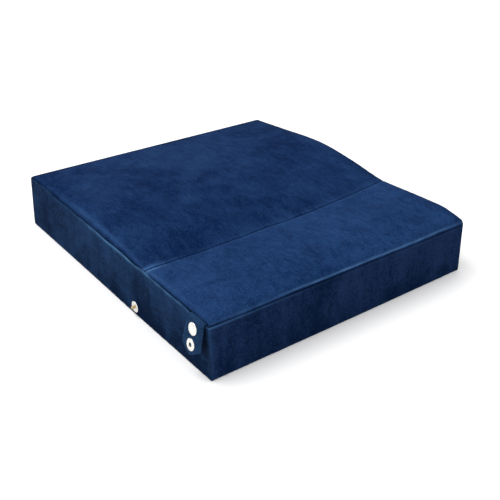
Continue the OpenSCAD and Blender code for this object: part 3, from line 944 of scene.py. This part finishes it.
def strap(sign, which):
    """Two layers of suede stitched together, from inside the edge seam down."""
    near = np.array([0, 0.008, 0.022, 0.045, 0.075, 0.11, 0.15, 0.2])
    a = join([-1 + near, np.linspace(-0.76, 0.76, 27), 1 - near[::-1]])
    straight = join([np.linspace(-ROOT_IN, 2.8, 27), np.linspace(3.6, STRAIGHT, 26)])
    a_s, s = np.meshgrid(a, straight)
    a_r, b_r = np.meshgrid(a, join([np.linspace(0.06, 0.76, 9), 1 - near[::-1]]))
    u, v = a_r * np.sqrt(1 - b_r ** 2 / 2), b_r * np.sqrt(1 - a_r ** 2 / 2)
    point = tab_point_shape(u, v)
    across = HALF_TAB * join([a_s, u * point])
    down = join([s, STRAIGHT + (TAB_END - STRAIGHT) * (v * point)])
    inward = join([HALF_TAB * (1 - np.abs(a_s)), (1 - np.hypot(u, v)) * 13])
    stitched = 0.2 * bell(inward, 2.5, 0.6) * rise(1, 4, down)
    half = STRAP_T / 2 * rolled(inward, 0.75) * (0.5 + 0.5 * rise(-6.5, -1, down)) - stitched
    for centre in (UPPER_SNAP, LOWER_SNAP):
        half = half - 0.16 * bell(np.hypot(across, down - centre), 8.4, 1.3)
    wave = (0.45 * ripple(across, down, 50 + sign, 34.0)
            * rise(6, 17, np.hypot(across, down - 20)) * rise(8, 20, down))
    across = drawn_in(across, down)
    (out, z), (next_out, next_z) = tab_path(down), tab_path(down + 0.05)
    slope = np.hypot(next_out - out, next_z - z)
    layers = []
    for face in (1, -1):
        offset = face * np.maximum(half, 0) + wave
        layers.append(xyz(sign * (SIDE + out + (z - next_z) / slope * offset),
                          ROOT_Y[sign] + across, z + (next_out - out) / slope * offset))
    # The strap's edges are worn and carry a painted highlight, strong on the back edge, which faces
    # the light, and faint on the front one.
    worn_and_lit = bell(inward, 0.2, 0.7) * rise(0, 5, down) * np.where(across > 0, 1.0, 0.08)
    made = closed_sheet(f"{which}_tab_strap_suede", *layers, -sign, TAB_SUEDE,
                        {"wear": [worn_and_lit, worn_and_lit], "groove": [0 * worn_and_lit, 0 * worn_and_lit]})
    turn_outward(made, weld=0.00002)
    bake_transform(made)
    stand_in(made, None, f"{which}_tab_strap")


# ---- stitches ----

STITCH_RINGS, STITCH_SIDES, STITCH_SINK = 7, 6, 0.05


def stitches(name, path, up, body, slot, pitch=3.6, length=2.9, radius=0.26):
    """Thread along a path: short arches that dip into suede facing up."""
    run = join([[0], np.cumsum(np.linalg.norm(np.diff(path, axis=0), axis=1))])
    ts = np.linspace(-0.5, 0.5, STITCH_RINGS)
    thick = (radius * np.sqrt(np.maximum(1 - (2 * ts) ** 2 * 0.72, 0.02)))[:, None]
    arch = (radius * (1 - (2 * ts) ** 2) * 1.3 - STITCH_SINK)[:, None]
    angles = np.linspace(0, 2 * pi, STITCH_SIDES, endpoint=False)
    points, faces = [], []
    for centre in np.arange(pitch / 2, run[-1] - pitch / 2 + 1e-6, pitch):
        at = centre + ts * length
        middle = np.stack([np.interp(at, run, path[:, k]) for k in range(3)], -1)
        side = np.cross(up, unit(np.gradient(middle, axis=0)))[:, None]
        rings = (middle[:, None] + up * (arch + thick * np.sin(angles))[..., None]
                 + side * (thick * np.cos(angles))[..., None])
        faces += tube_faces(STITCH_RINGS, STITCH_SIDES, STITCH_SIDES * STITCH_RINGS * len(points))
        points.append(rings.reshape(-1, 3))
    stand_in(add_mesh(name, join(points), faces, THREAD), body, slot=slot)


def tab_stitches(sign, which):
    """Stitches round the tab, a little in from its edge, on both faces."""
    inset, lift = 2.5, 0.6
    down = np.linspace(4, STRAIGHT, 30)
    edge = np.full(30, HALF_TAB - inset)
    turn = np.linspace(0, pi, 60)[1:-1]
    point = tab_point_shape(-np.cos(turn), np.sin(turn))
    across = join([-edge, -(HALF_TAB - inset) * np.cos(turn) * point, edge])
    end = STRAIGHT + (TAB_END - STRAIGHT - inset - lift) * np.sin(turn) * point
    s = join([down, end, down[::-1]])
    across = drawn_in(across, s)
    for face, label in ((1, "outer"), (-1, "inner")):
        place = on_tab(sign, 0, face)
        path = np.array([place(a, -b, -0.2) for a, b in zip(across, s)])
        up = face * np.array([sign * COS, 0, SIN])
        stitches(f"{which}_tab_stitches_{label}", path, up, f"{which}_tab", "side_suede",
                 pitch=3.1, length=2.5, radius=0.24)


for sign, which in SIDES:
    tab = f"{which}_tab"

    def wall(a, b, h):
        """Places on the side wall round its stud: across, up and out."""
        return sign * (SIDE + h), STUD_Y + a, STUD_Z + b

    upper, lower, upper_in, lower_in = (on_tab(sign, snap, face) for face in (1, -1)
                                        for snap in (UPPER_SNAP, LOWER_SNAP))
    lathe(f"{which}_stud_flange", FLANGE, wall, NICKEL, "mat", f"{which}_side_stud")
    lathe(f"{which}_stud_post", POST, wall, BRASS, "mat")
    lathe(f"{which}_eyelet_flange", EYELET, wall, BRASS, "mat", f"{which}_stud_eyelet")
    strap(sign, which)
    lathe(f"{which}_cap", CAP, upper, NICKEL, tab, f"{tab}_cap")
    lathe(f"{which}_socket", SOCKET, upper_in, BRASS, tab, f"{tab}_socket")
    lathe(f"{which}_ring", RING, lower, NICKEL, tab, f"{tab}_eyelet")
    lathe(f"{which}_ring_tube", TUBE, lower, BRASS, tab)
    lathe(f"{tab}_post", TAB_STUD, lower_in, BRASS, tab, f"{tab}_stud")
    tab_stitches(sign, which)


# ---- zip ----

ALONG_Z = (0, 2, 1)


def shells(name, parts, body, node):
    """A piece of zip metal made of closed shapes, each (points, faces, place)."""
    points, faces, count = [], [], 0
    for shape, shape_faces, place in parts:
        faces += [[i + count for i in face] for face in shape_faces]
        points.append(shape + np.asarray(place))
        count += len(shape)
    made = add_mesh(name, join(points), faces, ZIP_METAL)
    turn_outward(made)
    made.data.shade_flat()
    stand_in(made, body, node)


def ring_at(flat, y):
    return xyz(flat[:, 0], y, flat[:, 1])


def prism(outline, low, high, bevel, axes=(0, 1, 2)):
    """A bevelled plate in the (x, z) plane from y low to y high, or along z with ALONG_Z."""
    outline = np.asarray(outline, float)
    along = unit(np.roll(outline, -1, 0) - outline) + unit(outline - np.roll(outline, 1, 0))
    inset = outline - unit(along[:, ::-1] * (1, -1)) * bevel
    rings = [(inset, low), (outline, low + bevel), (outline, high - bevel), (inset, high)]
    points = join([ring_at(*ring) for ring in rings])
    return points[:, axes], tube_faces(4, len(outline))


def rounded_box(width, height, radius, steps=6):
    """Outline of a rectangle with round corners about the origin."""
    corners = (1, 1, 0), (-1, 1, 90), (-1, -1, 180), (1, -1, 270)
    return [(cx * (width / 2 - radius) + radius * cos(t),
             cz * (height / 2 - radius) + radius * sin(t)) for cx, cz, start in corners
            for t in np.linspace(radians(start), radians(start + 90), steps)]


def mirrored(half):
    """An outline from its upper half."""
    return half + [(x, -z) for x, z in reversed(half) if z > 0]


teeth_low, teeth_high = box_mm("zip_teeth_upper")
TEETH_Y = (teeth_low[1] + teeth_high[1]) / 2
ZIP_Z = (teeth_high[2] + box_mm("zip_teeth_lower")[0][2]) / 2
REACH = teeth_high[2] - ZIP_Z
TOOTH_PITCH, TOOTH_W, TOOTH_HALF = 3.0, 1.3, 1.08
TAPE_W, TAPE_HALF, TAPE_CORD = 12, 0.38, 0.16
TOOTH = [(-0.64, 3.15), (-0.64, 2.1), (-0.42, 1.75), (-0.42, 1.45), (-0.64, 1.15), (-0.6, 0.8),
         (-0.3, 0.62), (0.3, 0.62), (0.6, 0.8), (0.64, 1.15), (0.42, 1.45), (0.42, 1.75),
         (0.64, 2.1), (0.64, 3.15)]


def zip_row(up, which):
    """A row of teeth and its tape, above the zip's middle if up is 1."""
    points, faces = prism([(x, z * up) for x, z in TOOTH], -TOOTH_HALF, TOOTH_HALF, 0.16)
    low, high = box_mm(f"zip_teeth_{which}")
    xs = np.arange(low[0] + TOOTH_W / 2, high[0], TOOTH_PITCH)
    shells(f"teeth_{which}", [(points, faces, (x, TEETH_Y, ZIP_Z)) for x in xs], "mat",
           f"zip_teeth_{which}")
    low, high = box_mm(f"zip_tape_{which}")
    zs = join([[0, 0.25, 0.6, 1.0, 1.4, 1.8], np.linspace(2.6, TAPE_W, 12)])
    x, z = np.meshgrid(np.linspace(low[0], high[0], 171), zs, indexing="ij")
    half = TAPE_HALF * rolled(np.maximum(z, 0.025), 0.5) + TAPE_CORD * bell(z, 0.8, 0.5)
    middle, height = (low[1] + high[1]) / 2, (low[2] + z) if up > 0 else (high[2] - z)
    layers = [xyz(x, middle + face * half, height) for face in (1, -1)]
    tape = closed_sheet(f"tape_{which}", *layers, -up, TAPE)
    stand_in(tape, "mat", f"zip_tape_{which}")


zip_row(1, "upper")
zip_row(-1, "lower")

stops_low, stops_high = box_mm("zip_stops")
END_STOP, STOP_GAP, STOP_HALF = 2.0, 0.6, 1.1
end_pair = prism(rounded_box(END_STOP, REACH - STOP_GAP, 0.4), -STOP_HALF, STOP_HALF, 0.25)
end_box = prism(rounded_box(END_STOP, 2 * REACH, 0.5), -STOP_HALF, STOP_HALF, 0.25)
stops = [(*end_pair, (stops_high[0] - END_STOP / 2, TEETH_Y, ZIP_Z + up * (REACH + STOP_GAP) / 2))
         for up in (1, -1)]
stops.append((*end_box, (stops_low[0] + END_STOP / 2, TEETH_Y, ZIP_Z)))
shells("zip_stop_metal", stops, "mat", "zip_stops")

slider_low, slider_high = box_mm("zip_slider")
SLIDER_AT = ((slider_low[0] + slider_high[0]) / 2, TEETH_Y, ZIP_Z)
SHIELD = mirrored([(4.9, 0), (5.3, 0.9), (5.9, 1.6), (6, 3), (5.8, 4.1), (5, 4.8), (3.6, 5),
                   (1.5, 4.8), (-1.5, 4.55), (-5, 4.6), (-5.7, 4.3), (-6, 3.6)])
RAIL = [(-5, 3.72), (3.8, 3.72), (4.6, 4.1), (3.6, 4.8), (1.5, 4.62), (-1.5, 4.4), (-5, 4.42)]
BRIDGE = [(4, 2.4), (4, 4.5), (3.85, 5.1), (3.4, 5.55), (2.7, 5.8), (-2.7, 5.8), (-3.4, 5.55),
          (-3.85, 5.1), (-4, 4.5), (-4, 2.4), (-2.8, 2.4), (-2.8, 4.3), (-2.5, 4.7), (-1.9, 4.8),
          (1.9, 4.8), (2.5, 4.7), (2.8, 4.3), (2.8, 2.4)]
WEDGE = [(-1.5, 0), (-0.2, -0.3), (1.5, -0.25), (1.5, 0.25), (-0.2, 0.3)]
slider_parts = [prism(SHIELD, 1.4, 2.6, 0.35), prism(SHIELD, -2.6, -1.4, 0.35),
                prism(BRIDGE, -1.4, 1.4, 0.25, ALONG_Z), prism(WEDGE, -1.7, 1.7, 0.05),
                prism(RAIL, 0.7, 1.7, 0.1),
                prism([(x, -z) for x, z in reversed(RAIL)], 0.7, 1.7, 0.1)]
shells("zip_slider_cast", [(*part, SLIDER_AT) for part in slider_parts], "zip_slider", "zip_slider")

# The pull's hole and thicknesses, and half the outline of its grip from the axle outward.
HOLE_X, HOLE_R, GRIP_R, FACE_Y, EDGE_Y, SUNK_Y = -31, 1.6, 4, 0.6, 0.45, 0.42
GRIP = [(-8.6, 0), (-8.6, 2.9), (-9.1, 3.4), (-12, 3.1), (-16, 3), (-21, 3.3), (-26, 3.8),
        (-29, 4)]


def pull_plate():
    """A waisted grip with a hole and a sunk face inside a rim."""
    half = GRIP + [(HOLE_X + GRIP_R * cos(t), GRIP_R * sin(t))
                   for t in np.linspace(pi / 2, pi, 14)[:-1]]
    outline = np.array(mirrored(half + [(HOLE_X - GRIP_R, 0)]))
    ray = unit(outline - (HOLE_X, 0))
    reach = np.linalg.norm(outline - (HOLE_X, 0), axis=1, keepdims=True)
    round_hole = [(0, -EDGE_Y), (0, EDGE_Y), (0.15, FACE_Y), (0.7, FACE_Y), (0.85, SUNK_Y)]
    in_from_rim = [(0.95, SUNK_Y), (0.8, FACE_Y), (0.15, FACE_Y), (0, EDGE_Y), (0, -EDGE_Y),
                   (0.15, -FACE_Y)]
    levels = [(HOLE_R + wider, y) for wider, y in round_hole]
    levels += [(reach - inset, y) for inset, y in in_from_rim] + [(HOLE_R + 0.15, -FACE_Y)]
    rings = [ring_at((HOLE_X, 0) + ray * radius, y) for radius, y in levels]
    return join(rings), tube_faces(len(rings), len(outline), closed=True)


pull_low, pull_high = box_mm("zip_pull")
pull_at = np.array([SLIDER_AT[0], (pull_low[1] + pull_high[1]) / 2, ZIP_Z])
arm = prism(rounded_box(10.3, 1.6, 0.55), -0.58, 0.58, 0.2)
axle = [(0.8 * cos(t), 0.8 * sin(t)) for t in np.linspace(0, 2 * pi, 41)[:-1]]
pull_parts = [(*pull_plate(), pull_at), (*prism(axle, -3.5, 3.5, 0.2, ALONG_Z), pull_at)]
pull_parts += [(*arm, pull_at + (-4.35, 0, side)) for side in (2.7, -2.7)]
shells("zip_pull_cast", pull_parts, "zip_pull", "zip_pull")

PATCH_LONG, PATCH_OVER, PATCH_IN, PATCH_T = (SIDE - 30.5, SIDE - 1.2), 2, 1.15, 0.9


def end_patch(sign, which):
    """A patch behind the gap between the back panels, past the teeth."""
    low, high = box_mm("zip_end_patches")
    heights = np.linspace(low[2] - PATCH_OVER, high[2] + PATCH_OVER, 15)
    x, z = np.meshgrid(np.linspace(*PATCH_LONG, 26), heights, indexing="ij")
    inward = np.minimum(x - x[0, 0], x[-1, 0] - x)
    sunk = PATCH_IN - 0.12 * ripple(x, z, 80 + sign, 15.0) * rise(0, 4, inward)
    layers = [sheared(xyz(sign * x, BACK - sunk - depth, z)) for depth in (0, PATCH_T)]
    made = closed_sheet(f"zip_patch_{which}", *layers, -sign, WALL_SUEDE)
    stand_in(made, "mat", "zip_end_patches")


for sign, which in SIDES:
    end_patch(sign, which)
for which, at in (("upper", upper_hem + 3.0), ("lower", lower_hem - 3.0)):
    row = np.array([(x, BACK, at) for x in np.linspace(-SIDE + 4, SIDE - 4, 120)])
    row[:, 1] += back_swell(row[:, 0], row[:, 2]) * 0.35
    stitches(f"back_{which}_stitches", row, np.array([0, 1.0, 0]), "mat", "front_suede")


# ---- floor and light ----
# Each lamp's name, place, diameter in metres and watts.

FLOOR, FLOOR_Z = 9000, -0.05
LAMPS = (("key", (-0.9, 0.5, 2.0), 1.6, 26), ("fill", (-1.2, -1.6, 1.2), 1.4, 3.5))
LIT_POINT = Vector((0, 0, 0.04))


def add_stage():
    n = Nodes("pale_floor")
    mottle = n.ramp(n.noise(n.place(), 3.0, 2.0), 0.3, 0.7)
    n.finish(Base_Color=n.mix(mottle, (0.95, 0.95, 0.95, 1), (0.97, 0.97, 0.97, 1)), Roughness=0.9,
             Specular_IOR_Level=0.1)
    corners = [(FLOOR * x, FLOOR * y, FLOOR_Z) for x, y in ((-1, -1), (1, -1), (1, 1), (-1, 1))]
    add_mesh("floor", corners, [[0, 1, 2, 3]], n.material)
    world = bpy.data.worlds.new("studio")
    world.use_nodes = True
    background = world.node_tree.nodes["Background"]
    background.inputs[0].default_value = (1, 1, 1, 1)
    background.inputs[1].default_value = 1.0
    scene = bpy.context.scene
    scene.world = world
    scene.view_settings.view_transform = "Standard"
    for name, at, size, power in LAMPS:
        data = bpy.data.lights.new(name, "AREA")
        data.shape, data.size, data.energy = "DISK", size, power
        lamp = bpy.data.objects.new(name, data)
        lamp.location = at
        lamp.rotation_euler = (LIT_POINT - Vector(at)).to_track_quat("-Z", "Y").to_euler()
        scene.collection.objects.link(lamp)


add_stage()
